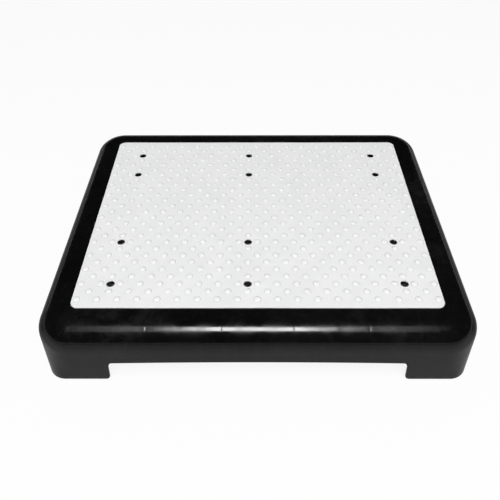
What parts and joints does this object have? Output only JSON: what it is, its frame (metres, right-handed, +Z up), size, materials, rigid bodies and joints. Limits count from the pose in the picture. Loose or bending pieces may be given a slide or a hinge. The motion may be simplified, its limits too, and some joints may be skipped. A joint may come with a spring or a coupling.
{
  "type": "riser step",
  "caption": "Low moulded platform step with a bullnose rim, corner feet on rubber pads, and a studded anti-slip mat with drain holes on its deck.",
  "frame": {"origin": "on the floor, at the centre of the footprint, under the centre of the deck", "axes": "+X along the width to the right, +Y along the depth to the back, +Z up; the front long side faces -Y"},
  "size_m": [0.49, 0.394, 0.085],
  "materials": {
    "black_plastic": "glossy black moulded polypropylene with faint sink lines over the ribs",
    "mat_rubber": "satin light grey elastomer with moulded studs",
    "adhesive": "thin clear-yellow bonding film",
    "foot_rubber": "matte dark grey rubber"
  },
  "bodies": {
    "root": {"platform_body": "black_plastic", "tread_mat": "mat_rubber", "mat_adhesive": "adhesive", "foot_pad_front_left": "foot_rubber", "foot_pad_front_right": "foot_rubber", "foot_pad_rear_left": "foot_rubber", "foot_pad_rear_right": "foot_rubber"}
  },
  "joints": []
}
